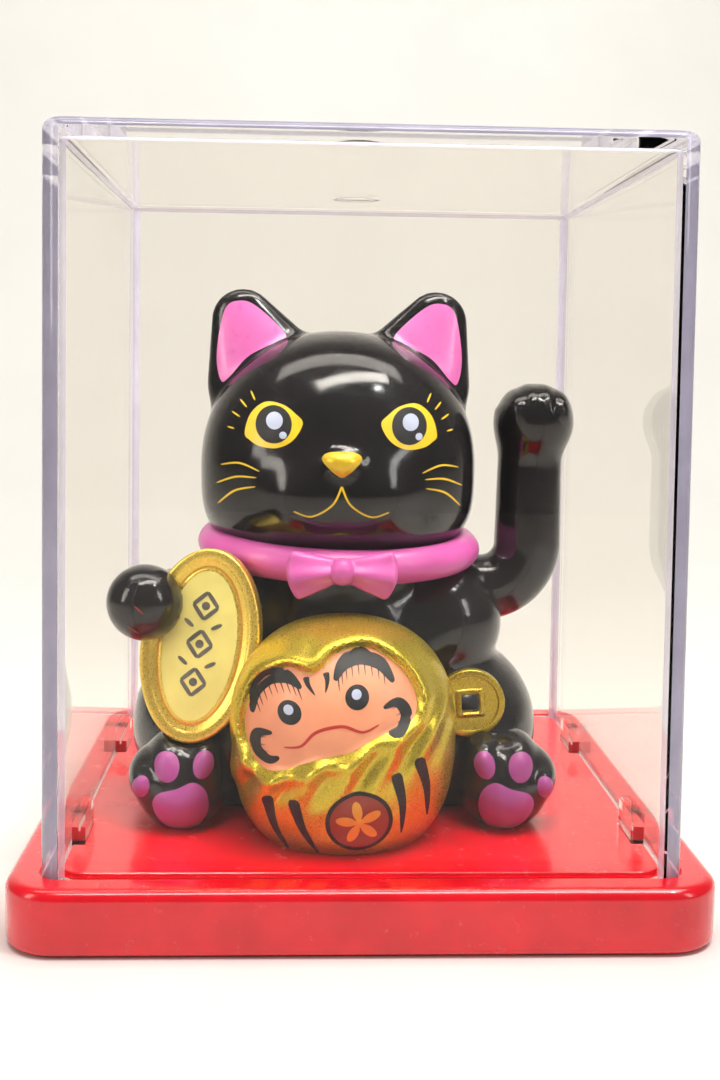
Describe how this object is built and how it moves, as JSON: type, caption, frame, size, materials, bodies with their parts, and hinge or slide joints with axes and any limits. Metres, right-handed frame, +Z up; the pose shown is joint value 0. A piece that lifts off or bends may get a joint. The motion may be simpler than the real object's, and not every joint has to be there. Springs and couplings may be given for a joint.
{
  "type": "beckoning cat figurine",
  "caption": "Small beckoning cat with a freely swinging arm, on a square base under a clear lift-off cover.",
  "frame": {"origin": "middle of the base's underside", "axes": "+Z up, the cat looks along -Y, +X to the viewer's right"},
  "size_m": [0.065, 0.065, 0.0726],
  "materials": {
    "base_plastic": "glossy red moulded plastic",
    "cat_black": "high-gloss black",
    "collar_pink": "satin pink paint on plastic",
    "gold_paint": "metallic gold paint on plastic",
    "clear_plastic": "clear polished plastic",
    "white_plastic": "natural moulded plastic",
    "solar_cell": "dark amorphous cell under a clear film",
    "lead_insulation": "wire insulation",
    "board_laminate": "solder-masked laminate",
    "chip_epoxy": "black epoxy",
    "capacitor_can": "rolled can",
    "coil_copper": "enamelled copper wire",
    "screw_steel": "zinc-plated",
    "axle_steel": "ground",
    "bush_brass": "turned",
    "magnet_nickel": "nickel-plated"
  },
  "bodies": {
    "root": {"base_tray": "base_plastic", "bottom_plate": "base_plastic", "base_screws": "screw_steel", "solar_panel": "solar_cell", "panel_leads": "lead_insulation", "circuit_board": "board_laminate", "driver_chip": "chip_epoxy", "capacitor": "capacitor_can", "coil_bobbin": "white_plastic", "coil_winding": "coil_copper", "chassis": "white_plastic", "chassis_screws": "screw_steel", "axle_bushes": "bush_brass", "body_front_shell": "cat_black", "body_rear_shell": "cat_black", "right_foot": "cat_black", "left_foot": "cat_black", "head_front_shell": "cat_black", "head_rear_shell": "cat_black", "collar": "collar_pink", "bow_tie": "collar_pink", "right_arm": "cat_black", "koban_coin": "gold_paint", "daruma_doll": "gold_paint", "square_hole_coin": "gold_paint"},
    "arm": {"left_arm": "cat_black", "arm_axle": "axle_steel", "pendulum_bar": "white_plastic", "pendulum_magnet": "magnet_nickel"},
    "cover": {"case_cover": "clear_plastic"}
  },
  "joints": [
    {"name": "arm_swing", "type": "hinge", "parent": "root", "child": "arm", "pos_m": [0, 0.0003, 0.028], "axis": [1, 0, 0], "range_deg": [-18, 18]},
    {"name": "cover_lift", "type": "slide", "parent": "root", "child": "cover", "axis": [0, 0, 1], "range_m": [0, 0.08]}
  ]
}
